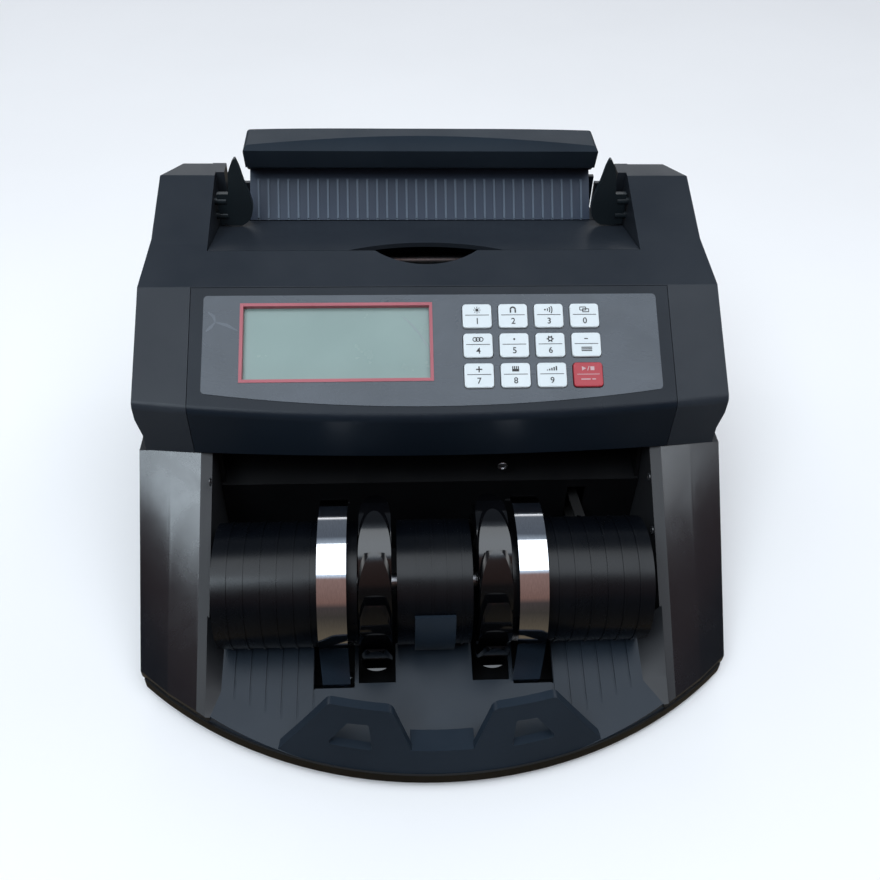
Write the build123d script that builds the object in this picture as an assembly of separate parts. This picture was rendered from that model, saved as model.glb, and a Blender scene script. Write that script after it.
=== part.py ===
from build123d import *
import math
import os

# Banknote counting machine, friction feed, loose-note type.
# Millimetres, +Z up, front faces -Y, origin under the centre of the overall footprint.

# ---- overall case ----
WIDTH = 290.0
HALF = WIDTH / 2
FRONT = -142.0
BACK = 142.0
ARC_R = 216.0
ARC_CY = FRONT + ARC_R
CORNER = 12.0
WALL = 2.5
FOOT_H = 4.0
PAN_TOP = 10.5
SKIRT_TOP = 14.8
SPLIT = 90.0
POCKET = 109.6
POCKET_BACK = 20.0
MID = -2.1

# ---- upper body side profile ----
LIP = (-6.4, 119.9)
PANEL_ANGLE = 32.3
PANEL_LEN = 58.3
RIDGE = (70.0, 158.1)
SHOULDER = (113.9, 172.6)
SHOULDER_END = (127.6, 172.6)
BACK_EDGE_Z = 155.0
NOSE_SIDE_Y = -7.6
NOSE_MID_Y = -14.6
HOPPER_HALF = 110.1
HOPPER_FRONT = (65.6, 156.9)
FLOOR_END = (113.0, 146.0)
PANEL_HALF = 118.0
SHOULDER_REAR = 105.5

# ---- control panel ----
KEY_W = 14.3
KEY_H = 12.3
KEY_COLS = (21.6, 39.3, 57.0, 74.7)
KEY_ROWS = (41.6, 26.4, 11.1)
KEY_PROUD = 1.8
KEY_CORNER = 1.7
LCD_X = (-93.7, -0.2)
LCD_U = (8.9, 49.4)
LCD_BORDER = 1.6

# ---- stacker ----
AX_Y = -62.5
AX_Z = 51.5
WHEEL_R = 42.0
STRIP_R = 38.5
DRUM_R = 30.0
WHEEL_X = 27.4
WHEEL_W = 15.0
FINGERS = 11
FIRST_FINGER = 17.9
FINGER_SWEEP = 105.0
STRIP_X = (-48.8, 42.2)
STRIP_W = 13.2
STRIP_SHIFT = 2.0
DRUM_END = 101.5
DRUM_START = 35.6
DRUM_MID = 17.4
FIRST_RIB = 57.5
TRAY_REAR = (-80.5, 26.0)
TRAY_SLOPE = math.tan(math.radians(17))
SLOT_END = -98.9
STRIP_SLOT_END = -100.9
TRAY_HALF = 101.5
TONGUE_HALF = 9.4
TOWER_TOP = 47.0
TOWER_T = 4.0
NOTCH_TOP = 24.6
NOTCH_HALF = 14.5
NOTCH_DEPTH = 10.5
RIB_PITCH = 7.5

# ---- transport shafts (y, z, radius) ----
PICKUP = (97.0, 131.0, 13.0)
FEED = (88.0, 104.0, 20.0)
CARRY = (30.0, 84.0, 12.0)
PINCH = (118.0, 104.0, 8.0)
MOTOR = (58.0, 40.0, 21.0)
STACK_MOTOR = (18.0, 32.0, 15.0)
SHAFT_R = 4.0
RUN_FIT = 0.05
PLATE_X = 112.6
PLATE_T = 1.5

# ---- rear door ----
DOOR_HALF = 94.5
HINGE = (130.0, 22.0)
BAR_X = (-97.0, 91.6)
BAR_END_Z = 185.4
BAR_MID_Z = 188.0
PLATE_LOW = (114.0, 146.0)
PLATE_HIGH = (134.5, 166.5)
GUIDE_Y = (103.2, 106.0)
GUIDE_PINS = ((104.6, 163.0), (104.6, 154.5))
PIN_R = 2.0


def poly(points):
    return Face(Wire.make_polygon(points, close=True))


def prism_x(points, x0, x1):
    return Solid.extrude(poly([(x0, y, z) for y, z in points]), Vector(x1 - x0, 0, 0))


def prism_y(points, y0, y1):
    return Solid.extrude(poly([(x, y0, z) for x, z in points]), Vector(0, y1 - y0, 0))


def prism_z(points, z0, z1):
    return Solid.extrude(poly([(x, y, z0) for x, y in points]), Vector(0, 0, z1 - z0))


def cyl_x(y, z, r, x0, x1):
    return Solid.make_cylinder(r, x1 - x0, Plane(origin=(x0, y, z), z_dir=(1, 0, 0)))


def cyl_y(x, z, r, y0, y1):
    return Solid.make_cylinder(r, y1 - y0, Plane(origin=(x, y0, z), z_dir=(0, 1, 0)))


def cyl_z(x, y, r, z0, z1):
    return Solid.make_cylinder(r, z1 - z0, Plane(origin=(x, y, z0), z_dir=(0, 0, 1)))


def block(x0, x1, y0, y1, z0, z1):
    return Solid.make_box(x1 - x0, y1 - y0, z1 - z0, Plane(origin=(x0, y0, z0)))


def union(parts):
    out = Part()
    for p in parts:
        out = out + p
    return out


def mirrored(shape):
    return mirror(shape, about=Plane.YZ)


def ring(y, z, r_in, r_out, x0, x1):
    return cyl_x(y, z, r_out, x0, x1) - cyl_x(y, z, r_in, x0 - 1, x1 + 1)


def arc_y(x, inset=0.0):
    r = ARC_R - inset
    return ARC_CY - math.sqrt(r * r - x * x)


# plan outline of the case, bowed front and chamfered rear corners
def plan_body(inset, z0, z1):
    h = HALF - inset
    b = BACK - inset
    c = CORNER - inset * 0.4
    front = ThreePointArc((-h, arc_y(h, inset), z0), (0, FRONT + inset, z0), (h, arc_y(h, inset), z0))
    rest = Polyline((h, arc_y(h, inset), z0), (h, b - c, z0), (h - c, b, z0),
                    (-h + c, b, z0), (-h, b - c, z0), (-h, arc_y(h, inset), z0))
    return Solid.extrude(Face(Wire([front] + list(rest.edges()))), Vector(0, 0, z1 - z0))


# plan outline of the upper body, its nose only slightly bowed
def nose_plan(inset, z0, z1):
    h = HALF - inset
    b = BACK - inset
    c = CORNER - inset * 0.4
    f = NOSE_SIDE_Y + inset
    front = ThreePointArc((-h, f, z0), (0, NOSE_MID_Y + inset, z0), (h, f, z0))
    rest = Polyline((h, f, z0), (h, b - c, z0), (h - c, b, z0), (-h + c, b, z0), (-h, b - c, z0), (-h, f, z0))
    return Solid.extrude(Face(Wire([front] + list(rest.edges()))), Vector(0, 0, z1 - z0))


def panel_z(y):
    return LIP[1] + (y - LIP[0]) * math.tan(math.radians(PANEL_ANGLE))


PANEL_TOP = (LIP[0] + PANEL_LEN * math.cos(math.radians(PANEL_ANGLE)),
             LIP[1] + PANEL_LEN * math.sin(math.radians(PANEL_ANGLE)))


def shell_profile(low):
    return [(-40, low), (-40, panel_z(-40)), PANEL_TOP, RIDGE, SHOULDER, SHOULDER_END,
            (BACK, BACK_EDGE_Z), (BACK, low)]


def offset_prism_x(points, inset, x0, x1):
    wire = Wire.make_polygon([(x0, y, z) for y, z in points], close=True)
    if inset:
        wire = wire.offset_2d(-inset, kind=Kind.INTERSECTION)
    return Solid.extrude(Face(wire), Vector(x1 - x0, 0, 0))


# cross-section seen from the front: recessed skirt, full-width waist, narrower shoulders
def front_profile(inset):
    w = HALF - 1.4 - inset
    n = HALF - 3.4 - inset
    s = HALF - 4.5 - inset
    top = 200.0
    right = [(n, 80), (n, 100), (w, 110), (w, PANEL_TOP[1]), (s, RIDGE[1] + 1), (s, top)]
    return right + [(-x, z) for x, z in reversed(right)]


def upper_body(inset):
    side = offset_prism_x(shell_profile(80.0), inset, -HALF, HALF)
    body = side & nose_plan(inset, 75, 200)
    body = body & prism_y(front_profile(inset), -60, 200)
    return body - corner_facet(1, inset) - corner_facet(-1, inset)


# sloping facet across the outer rear corner of a shoulder; side is 1 or -1
def corner_facet(side, inset):
    n = Vector(side * 0.688, 0.527, 0.5)
    on_edge = Vector(side * (HALF - 9.1), 119.6, SHOULDER[1]) - n * inset
    plane = Plane(origin=on_edge, x_dir=(0, 0.688, -0.725), z_dir=n)
    return plane * Solid.make_box(90, 90, 40, Plane(origin=(-45, -45, 0)))


def upper_shell():
    outer = upper_body(0.0) & block(-200, 200, -60, 200, SPLIT, 250)
    lip = [e for e in outer.edges() if e.length > 200 and e.center().Y < 0 and e.center().Z > 108]
    outer = fillet(lip, 5.0)
    soft = [e for e in outer.edges().filter_by(Axis.X)
            if e.length > 200 and e.center().Y > 30 and e.center().Z > 140]
    outer = fillet(soft, 2.5)
    return outer - upper_body(WALL)


# finger scoop: a wide bay behind the hopper edge and a narrower one in front of it
def scoop(z0, z1):
    y = HOPPER_FRONT[0]
    front = ThreePointArc((MID - 26.5, y + 0.5, z0), (MID, y - 9.0, z0), (MID + 26.5, y + 0.5, z0))
    chord = Line((MID + 26.5, y + 0.5, z0), (MID - 26.5, y + 0.5, z0))
    near = Solid.extrude(Face(Wire([front, chord])), Vector(0, 0, z1 - z0))
    rear = ThreePointArc((MID + 40.0, y, z0), (MID, y + 11.6, z0), (MID - 40.0, y, z0))
    back_chord = Line((MID - 40.0, y, z0), (MID + 40.0, y, z0))
    far = Solid.extrude(Face(Wire([rear, back_chord])), Vector(0, 0, z1 - z0))
    return near + far


def make_upper_cover():
    body = upper_shell()
    body = body - block(-PANEL_HALF, PANEL_HALF, -60, PANEL_TOP[0] - 0.2, 80, 200)
    body = body - block(MID - HOPPER_HALF, MID + HOPPER_HALF, HOPPER_FRONT[0], 200, 80, 250)
    body = body - scoop(140, 170)
    inner = [(HOPPER_FRONT[0], 142.6), HOPPER_FRONT, RIDGE, SHOULDER, SHOULDER_END,
             (BACK - 1, BACK_EDGE_Z), (BACK - 1, 142.6)]
    for s in (1, -1):
        a = MID + s * HOPPER_HALF
        body = body + prism_x(inner, a, a + s * WALL)
        b = MID + s * SHOULDER_REAR
        body = body + block(min(b, a + s), max(b, a + s), 117.5, SHOULDER_END[0], 142.6, SHOULDER[1])
        body = body + block(min(s * 97, s * 115), max(s * 97, s * 115), BACK - WALL, BACK, SPLIT, BACK_EDGE_Z - 0.5)
        for y, z in GUIDE_PINS:
            body = body + cyl_x(y, z, PIN_R + 2.0, min(a, a + s * 8), max(a, a + s * 8))
            body = body - cyl_x(y, z, PIN_R + RUN_FIT, min(a - s, a + s * 9), max(a - s, a + s * 9))
    return body


def panel_plane():
    a = math.radians(PANEL_ANGLE)
    return Plane(origin=(0, LIP[0], LIP[1]), x_dir=(1, 0, 0), z_dir=(0, -math.sin(a), math.cos(a)))


def panel_box(x0, x1, u0, u1, w0, w1):
    flat = Solid.make_box(x1 - x0, u1 - u0, w1 - w0, Plane(origin=(x0, u0, w0)))
    return panel_plane() * flat


def key_openings(w0, w1, grow):
    cuts = []
    hx = KEY_W / 2 + grow
    hu = KEY_H / 2 + grow
    for x in KEY_COLS:
        for u in KEY_ROWS:
            flat = Solid.make_box(2 * hx, 2 * hu, w1 - w0, Plane(origin=(x - hx, u - hu, w0)))
            flat = fillet(flat.edges().filter_by(Axis.Z), KEY_CORNER + grow)
            cuts.append(panel_plane() * flat)
    return cuts


def make_control_panel():
    h = PANEL_HALF - 0.3
    body = upper_shell() & block(-h, h, -60, PANEL_TOP[0] - 0.5, SPLIT, 200)
    for cut in key_openings(-8, 4, 0.35):
        body = body - cut
    body = body - panel_box(LCD_X[0], LCD_X[1], LCD_U[0], LCD_U[1], -8, 4)
    for x in (-104.0, 6.6, 104.0):
        body = body + panel_box(x - 2, x + 2, 44, 50, -12, -WALL + 0.1)
    return body


def make_panel_overlay():
    w = 111.3
    top = 53.4
    low = 3.9
    outline = [(-w, low), (-w, top), (w, top), (w, low)]
    sides = Polyline(*[(x, u, 0) for x, u in outline])
    bow = ThreePointArc((w, low, 0), (0, low - 7.6, 0), (-w, low, 0))
    face = Face(Wire(list(sides.edges()) + [bow]))
    sheet = Solid.extrude(face, Vector(0, 0, 0.4))
    sheet = fillet(sheet.edges().filter_by(Axis.Z), 2.0)
    sheet = panel_plane() * sheet
    for cut in key_openings(-2, 4, 0.35):
        sheet = sheet - cut
    return sheet - panel_box(LCD_X[0], LCD_X[1], LCD_U[0], LCD_U[1], -2, 4)


def make_lcd_bezel():
    g = 0.05
    frame = panel_box(LCD_X[0] + g, LCD_X[1] - g, LCD_U[0] + g, LCD_U[1] - g, -WALL, 0.7)
    b = LCD_BORDER
    return frame - panel_box(LCD_X[0] + b, LCD_X[1] - b, LCD_U[0] + b, LCD_U[1] - b, -5, 3)


def make_lcd_module():
    glass = panel_box(LCD_X[0] + 0.5, LCD_X[1] - 0.5, LCD_U[0] + 0.5, LCD_U[1] - 0.5, -5.0, -WALL)
    board = panel_box(LCD_X[0] - 3, LCD_X[1] + 2, LCD_U[0] - 4, LCD_U[1] + 2, -6.8, -5.0)
    return glass + board


def make_keypad_board():
    board = panel_box(11.0, 86.0, 2.0, 50.0, -6.8, -5.2)
    plug = panel_box(40, 56, 20, 26, -12, -6.8)
    return board + plug


def make_main_board():
    board = panel_box(-107, 107, 6, 50, -22, -20.4)
    chip = panel_box(-20, -4, 18, 34, -20.4, -18.0)
    plug_a = panel_box(40, 62, 12, 19, -20.4, -13.0)
    plug_b = panel_box(-72, -50, 12, 19, -20.4, -13.0)
    posts = []
    for x in (-104, 104):
        posts.append(panel_box(x - 3, x + 3, 30, 36, -20.4, -WALL))
    return union([board, chip, plug_a, plug_b] + posts)


def make_key(x, u):
    hx = KEY_W / 2
    hu = KEY_H / 2
    cap = Solid.make_box(KEY_W, KEY_H, KEY_PROUD + 3.0, Plane(origin=(-hx, -hu, -3.0)))
    cap = fillet(cap.edges().filter_by(Axis.Z), KEY_CORNER)
    cap = fillet(cap.faces().sort_by(Axis.Z)[-1].edges(), 0.5)
    flange = Solid.make_box(KEY_W + 1.8, KEY_H + 1.8, 0.9, Plane(origin=(-hx - 0.9, -hu - 0.9, -3.8)))
    key = cap + flange
    return panel_plane() * (Pos(x, u, 0) * key)


def make_base_pan():
    pan = plan_body(0.0, FOOT_H, PAN_TOP) - plan_body(4.0, FOOT_H + WALL, PAN_TOP + 5)
    pan = pan & block(-HALF + 1.4, HALF - 1.4, FRONT - 5, BACK + 5, 0, 30)
    for x, y in screw_points():
        pan = pan + cyl_z(x, y, 6.0, FOOT_H, PAN_TOP)
        pan = pan - cyl_z(x, y, 3.8, FOOT_H - 1, FOOT_H + 3.2)
        pan = pan - cyl_z(x, y, 1.8, FOOT_H - 1, PAN_TOP + 1)
    return pan


def foot_points():
    return [(-112, -78), (112, -78), (-118, 118), (118, 118)]


def screw_points():
    return [(-131, -70), (131, -70), (-131, 20), (131, 20), (-131, 100), (131, 100)]


def make_feet():
    feet = []
    for x, y in foot_points():
        pad = cyl_z(x, y, 9.0, 0, FOOT_H)
        feet.append(chamfer(pad.edges().sort_by(Axis.Z)[0], 0.8))
    return Compound(children=feet)


def make_case_screws():
    screws = []
    for x, y in screw_points():
        screws.append(cyl_z(x, y, 3.5, FOOT_H + 0.6, FOOT_H + 3.2) + cyl_z(x, y, 1.6, FOOT_H + 3.2, 21.0))
    return Compound(children=screws)


# one section of a cheek in the plane x; drop lowers the sloping face
def cheek_section(x, inset, drop, rear, low):
    y0 = arc_y(x) + 0.8 + inset
    top_y = NOSE_SIDE_Y - 0.5 + inset + drop * 0.6
    pts = [(rear, low), (y0, low), (y0, SKIRT_TOP - drop - inset * 0.3),
           (top_y, SPLIT - drop * 0.6), (rear, SPLIT - drop * 0.6)]
    if inset:
        pts = [(rear, low), (y0, low), (y0, SKIRT_TOP - 2.0), (top_y + 1.5, SPLIT - 1.5), (rear, SPLIT - 1.5)]
    return Wire.make_polygon([(x, y, z) for y, z in pts], close=True)


def cheek_shell():
    rear = POCKET_BACK
    outer = Solid.make_loft([cheek_section(HALF, 0, 0, rear, PAN_TOP), cheek_section(130, 0, 0, rear, PAN_TOP),
                             cheek_section(115, 0, 0, rear, PAN_TOP),
                             cheek_section(POCKET, 0, 1.4, rear, PAN_TOP)], True)
    x_out = HALF - WALL
    x_in = POCKET + 2.4
    inner = Solid.make_loft([cheek_section(x_out, 3.0, 0, rear + 5, 5), cheek_section(128, 3.0, 0, rear + 5, 5),
                             cheek_section(x_in, 3.0, 0, rear + 5, 5)], True)
    return outer - inner


# sloping foot of the pocket wall, from the tray's edge out to the cheek; side is 1 or -1
def pocket_foot(side):
    wall = side * (POCKET + 0.6)
    foot = MID + side * TRAY_HALF
    stations = [(-74.0, foot, 15.0), (-101.0, foot, 3.4), (-112.5, side * (POCKET - 1.6), 0.4)]
    wires = []
    for y, x, rise in stations:
        z = tray_floor_z(y)
        pts = [(wall, y, z - 2.5), (x, y, z - 2.5), (x, y, z), (wall, y, z + rise)]
        wires.append(Wire.make_polygon(pts, close=True))
    return Solid.make_loft(wires, True)


def make_lower_housing():
    shell = plan_body(0.0, PAN_TOP, SPLIT) - plan_body(WALL, 0, 200)
    shell = shell - block(-200, 200, -200, POCKET_BACK, 0, 200)
    shell = shell - block(-97, 97, 100, 200, 0, 200)
    cheek = cheek_shell()
    body = shell + cheek + mirrored(cheek) + pocket_foot(1) + pocket_foot(-1)
    body = body + block(-100, 100, 137.5, BACK, PAN_TOP, 14.5)
    for s in (1, -1):
        post = block(min(s * 97, s * 99.5), max(s * 97, s * 99.5), 118, BACK - 1, PAN_TOP, SPLIT)
        body = body + post
        body = body - cyl_x(HINGE[0], HINGE[1], 2.5 + RUN_FIT, s * 98.2 - 3, s * 98.2 + 3)
    for x, y in screw_points():
        s = 1 if x > 0 else -1
        body = body + cyl_z(x, y, 4.5, PAN_TOP, 24)
        body = body + block(min(x, s * 143), max(x, s * 143), y - 1, y + 1, PAN_TOP, 24)
        body = body - cyl_z(x, y, 1.6, PAN_TOP - 1, 22)
    body = body - block(-130.8, -101.2, 130, 150, 18.7, 41.3)
    body = body - block(-126.8, -105.2, 130, 150, 52.7, 68.3)
    return body


def tray_floor_z(y):
    return TRAY_REAR[1] + (y - TRAY_REAR[0]) * TRAY_SLOPE


def wall_cone(inset):
    r = ARC_R - 1.0 - inset
    return Solid.make_cone(r, r - 13.3, 49.5, Plane(origin=(0, ARC_CY, PAN_TOP)))


# front wall of the tray: two thin towers leaning back, and a deeper sill across the thumb notch
def tray_wall():
    skin = (wall_cone(0) - wall_cone(TOWER_T)) & block(-90, 90, -200, -90, PAN_TOP, 58)
    half = [(NOTCH_HALF - 0.5, PAN_TOP), (NOTCH_HALF - 0.5, NOTCH_TOP), (22.5, TOWER_TOP), (50.5, TOWER_TOP),
            (76.5, PAN_TOP)]
    tower = prism_y(half, -160, -100)
    top_edges = [e for e in tower.edges().filter_by(Axis.Y) if e.center().Z > TOWER_TOP - 1]
    tower = fillet(top_edges, 4.0)
    wall = skin & (tower + mirrored(tower))
    window = [(31.6, 23.2), (33.0, 38.0), (42.5, 37.4), (52.5, 23.2)]
    for s in (1, -1):
        cut = prism_y([(s * x, z) for x, z in window], -160, -100)
        cut = fillet(cut.edges().filter_by(Axis.Y), 1.2)
        wall = wall - cut
    sill = (wall_cone(0) - wall_cone(NOTCH_DEPTH)) & block(-NOTCH_HALF, NOTCH_HALF, -200, -90, PAN_TOP, NOTCH_TOP)
    return wall + sill


# flute cutter in the tray floor, level at the rear and running out at the front
def flute(x, y_front):
    deep = 0.7
    y0 = TRAY_REAR[0] + 1.0
    pts = [(y0, tray_floor_z(y0) - deep), (y0, tray_floor_z(y0) + 2), (y_front, tray_floor_z(y_front) + 2),
           (y_front, tray_floor_z(y_front) + 0.01), (y_front + 9, tray_floor_z(y_front + 9) - deep)]
    return prism_x(pts, x - 0.55, x + 0.55)


def make_stacker_tray():
    w = POCKET - 0.4
    t = 2.5
    rear_z = TRAY_REAR[1]
    slab = prism_x([TRAY_REAR, (-150, tray_floor_z(-150)), (-150, tray_floor_z(-150) - t),
                    (TRAY_REAR[0], rear_z - t)], -w, w)
    floor = slab & plan_body(1.0, PAN_TOP, 80)
    edge = (plan_body(1.0, PAN_TOP, 30) - plan_body(3.5, 0, 60)) & block(-w, w, -200, -100, 0, 60)
    under = prism_x([(-90, PAN_TOP - 1), (-90, tray_floor_z(-90)), (-150, tray_floor_z(-150)),
                     (-150, PAN_TOP - 1)], -w, w)
    body = Part() + floor + (edge & under) + tray_wall()
    for s in (1, -1):
        c = MID + s * WHEEL_X
        body = body - block(c - 8.9, c + 8.9, SLOT_END, -70, 0, 45)
        a = MID + s * 38.2
        b = MID + s * 57.8
        body = body - block(min(a, b), max(a, b), STRIP_SLOT_END, -70, 0, 45)
    body = body + arc_sheet(DRUM_R + 0.8, DRUM_R + 2.8, 158, 236, MID - TONGUE_HALF, MID + TONGUE_HALF)
    for i in range(6):
        x = FIRST_RIB + i * RIB_PITCH
        y_front = -116.0 + abs(x - 68) * 0.42
        for s in (1, -1):
            body = body - flute(MID + s * x, y_front)
    for s in (1, -1):
        body = body - pocket_foot(s)
    return body


# curved sheet around the stacker axis between two angles, cut from a flat outline
def arc_sheet(r_in, r_out, a0, a1, x0, x1):
    def at(r, deg):
        a = math.radians(deg)
        return (x0, AX_Y + r * math.cos(a), AX_Z + r * math.sin(a))
    mid = (a0 + a1) / 2
    outer = ThreePointArc(at(r_out, a0), at(r_out, mid), at(r_out, a1))
    inner = ThreePointArc(at(r_in, a1), at(r_in, mid), at(r_in, a0))
    ends = [Line(at(r_out, a1), at(r_in, a1)), Line(at(r_in, a0), at(r_out, a0))]
    return Solid.extrude(Face(Wire([outer, ends[0], inner, ends[1]])), Vector(x1 - x0, 0, 0))


# drum cover segment between x0 and x1, open underneath, with a rear leg
def drum_segment(x0, x1, ribs):
    r = DRUM_R
    rear = math.radians(-38)
    rear_y = AX_Y + r * math.cos(rear)
    rear_z = AX_Z + r * math.sin(rear)
    body = Part() + arc_sheet(r - 2, r, -38, 236, x0, x1)
    body = body + block(x0, x1, rear_y - 2.4, rear_y - 0.4, 8.5, rear_z + 0.6)
    for x in ribs:
        body = body + arc_sheet(r - 0.5, r + 0.5, 40, 214, x - 0.5, x + 0.5)
    return body


def side_ribs(side):
    return [MID + side * (FIRST_RIB + i * RIB_PITCH) for i in range(6)]


def make_drum_right():
    body = drum_segment(MID + DRUM_START, MID + DRUM_END, side_ribs(1))
    return body - block(72, 82, AX_Y + 8, 0, 20, 66)


def make_drum_left():
    return drum_segment(MID - DRUM_END, MID - DRUM_START, side_ribs(-1))


def make_drum_centre():
    return drum_segment(MID - DRUM_MID, MID + DRUM_MID, [MID - 8.0, MID - 1.0, MID + 6.0, MID + 13.0])


# chrome guide strip: wraps the drum at a distance and stands on the stacker bracket
def make_strip(side):
    c = STRIP_X[0] if side < 0 else STRIP_X[1]
    x0 = c - STRIP_W / 2
    x1 = c + STRIP_W / 2
    ring_y = AX_Y + STRIP_SHIFT
    front = ring_y - STRIP_R
    band = ring(ring_y, AX_Z, STRIP_R, STRIP_R + 0.9, x0, x1)
    keep = [(ring_y, AX_Z), (-130, AX_Z), (-130, 110), (-20, 110), (-22, 70)]
    band = band & prism_x(keep, x0, x1)
    leg = block(x0, x1, front - 0.9, front, 8.5, AX_Z + 0.3)
    foot = block(x0, x1, front - 0.9, front + 13, 8.5, 9.4)
    return Part() + band + leg + foot


def make_stacker_bracket():
    body = Part() + block(-108, 108, -92, -6, FOOT_H + WALL, 8.5)
    for s in (1, -1):
        x0 = min(s * 64, s * 66.5)
        x1 = max(s * 64, s * 66.5)
        upright = block(x0, x1, AX_Y - 11, AX_Y + 11, 8.5, AX_Z) + cyl_x(AX_Y, AX_Z, 11, x0, x1)
        body = body + upright
        body = body - cyl_x(AX_Y, AX_Z, SHAFT_R + RUN_FIT, x0 - 1, x1 + 1)
    return body


def make_impeller_shaft():
    rod = cyl_x(AX_Y, AX_Z, SHAFT_R, -70, 82)
    pulley = ring(AX_Y, AX_Z, SHAFT_R - 0.2, 9.0, 74, 80)
    cheeks = ring(AX_Y, AX_Z, SHAFT_R - 0.2, 10.5, 73, 74) + ring(AX_Y, AX_Z, SHAFT_R - 0.2, 10.5, 80, 81)
    return Part() + rod + pulley + cheeks


# stacker wheel: hub with curved trailing fingers that narrow to a rounded tip
def make_wheel(side):
    h = WHEEL_W / 2
    body = Part() + ring(0, 0, SHAFT_R, 17.0, -h, h)
    steps = 8
    for i in range(FINGERS):
        a0 = FIRST_FINGER + 360.0 * i / FINGERS
        pts_out = []
        pts_in = []
        for k in range(steps + 1):
            f = k / steps
            r = 15.0 + (WHEEL_R - 15.0) * (f ** 0.62)
            a = math.radians(a0 - FINGER_SWEEP * f)
            thick = 2.4 - 1.2 * f
            pts_out.append((r * math.cos(a), r * math.sin(a)))
            pts_in.append(((r - thick) * math.cos(a), (r - thick) * math.sin(a)))
        outer = Spline(*[(-h, y, z) for y, z in pts_out])
        inner = Spline(*[(-h, y, z) for y, z in reversed(pts_in)])
        tip = Line(outer @ 1, inner @ 0)
        root = Line(inner @ 1, outer @ 0)
        finger = Solid.extrude(Face(Wire([outer, tip, inner, root])), Vector(2 * h, 0, 0))
        body = body + finger
    body = body & finger_envelope(h)
    return Pos(MID + side * WHEEL_X, AX_Y, AX_Z) * body


# turned envelope of a stacker wheel, its rim narrowing like the end of an ellipse
def finger_envelope(h):
    depth = 5.6
    r0 = WHEEL_R - depth
    mid = (h * math.cos(math.radians(45)), r0 + depth * math.sin(math.radians(45)), 0)
    crown = Spline((h, r0, 0), mid, (0, WHEEL_R, 0), tangents=[(0, 1, 0), (-1, 0, 0)])
    sides = Polyline((0, WHEEL_R, 0), (0, 0, 0), (h, 0, 0), (h, r0, 0))
    half = Solid.revolve(Face(Wire([crown] + list(sides.edges()))), 360, Axis.X)
    return half + mirror(half, about=Plane.YZ)


def make_hopper_floor():
    x0 = MID - HOPPER_HALF + 0.4
    x1 = MID + HOPPER_HALF - 0.4
    a = (HOPPER_FRONT[0] + 0.3, HOPPER_FRONT[1])
    sheet = prism_x([a, FLOOR_END, (FLOOR_END[0], FLOOR_END[1] - WALL), (a[0], a[1] - WALL)], x0, x1)
    lipdown = block(x0, x1, a[0], a[0] + WALL, 138, HOPPER_FRONT[1] - 0.6)
    return Part() + sheet + lipdown - scoop(120, 170)


# note guide: upright blade with a leaf outline, sliding on two pins in the shoulder
def make_guide(side):
    y0, y1 = GUIDE_Y
    low = 148.9
    inner = [(-96.6, 187.2), (-95.2, 183.0), (-93.6, 175.0), (-91.2, 166.5), (-90.5, 160.0), (-92.0, 154.0), (-97.5, low)]
    outer = [(-105.3, low), (-101.9, 172.6), (-101.2, 179.4), (-98.9, 184.8), (-97.4, 187.2)]
    curve = Spline(*[(x, y0, z) for x, z in inner])
    rest = Polyline((inner[-1][0], y0, low), *[(x, y0, z) for x, z in outer], (inner[0][0], y0, inner[0][1]))
    blade = Solid.extrude(Face(Wire([curve] + list(rest.edges()))), Vector(0, y1 - y0, 0))
    body = Part() + blade + block(-108.6, -102, y0, y1, 149.5, 167.5)
    for y, z in GUIDE_PINS:
        body = body + cyl_x(y, z, PIN_R, -129.0, -104.0)
    body = body if side < 0 else mirrored(body)
    return Pos(MID, 0, 0) * body


def make_rear_door():
    body = Part() + block(-DOOR_HALF, DOOR_HALF, 133.5, 136.0, 17, 161.8)
    for s in (1, -1):
        x0 = min(s * 92, s * DOOR_HALF)
        x1 = max(s * 92, s * DOOR_HALF)
        body = body + block(x0, x1, 119, 134, 30, 143)
        body = body + block(x0, x1, 126, 134, 17.5, 31)
        body = body + cyl_x(HINGE[0], HINGE[1], 4.5, x0, x1)
        body = body + cyl_x(HINGE[0], HINGE[1], 2.5, min(s * 93, s * 99.3), max(s * 93, s * 99.3))
        body = body + block(s * 50 - 1.5, s * 50 + 1.5, 112, 134, 98, 110)
        body = body - cyl_x(PINCH[0], PINCH[1], 3.0 + RUN_FIT, s * 50 - 3, s * 50 + 3)
    body = body - cyl_y(0, 120, 3.0 + RUN_FIT, 120, 140)
    for i in range(6):
        z = 45 + i * 7
        body = body - block(-40, 40, 130, 140, z, z + 2.5)
    return body


def make_backrest():
    lo = PLATE_LOW
    hi = PLATE_HIGH
    n = 0.7071 * WALL
    plate = prism_x([lo, hi, (hi[0] + n, hi[1] - n), (lo[0] + n, lo[1] - n)], BAR_X[0] + 0.6, BAR_X[1] - 0.6)
    body = Part() + plate
    e = 0.55
    c = (BAR_X[0] + BAR_X[1]) / 2
    f = (lo[0] + 15.6, lo[1] + 15.6)
    for i in range(34):
        x = c + (i - 16.5) * 5.4
        rib = prism_x([(lo[0] + 0.5, lo[1] + 0.5), (lo[0] + 0.5 - e, lo[1] + 0.5 + e), (f[0] - e, f[1] + e), f],
                      x - 0.5, x + 0.5)
        body = body + rib
    return body


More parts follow.
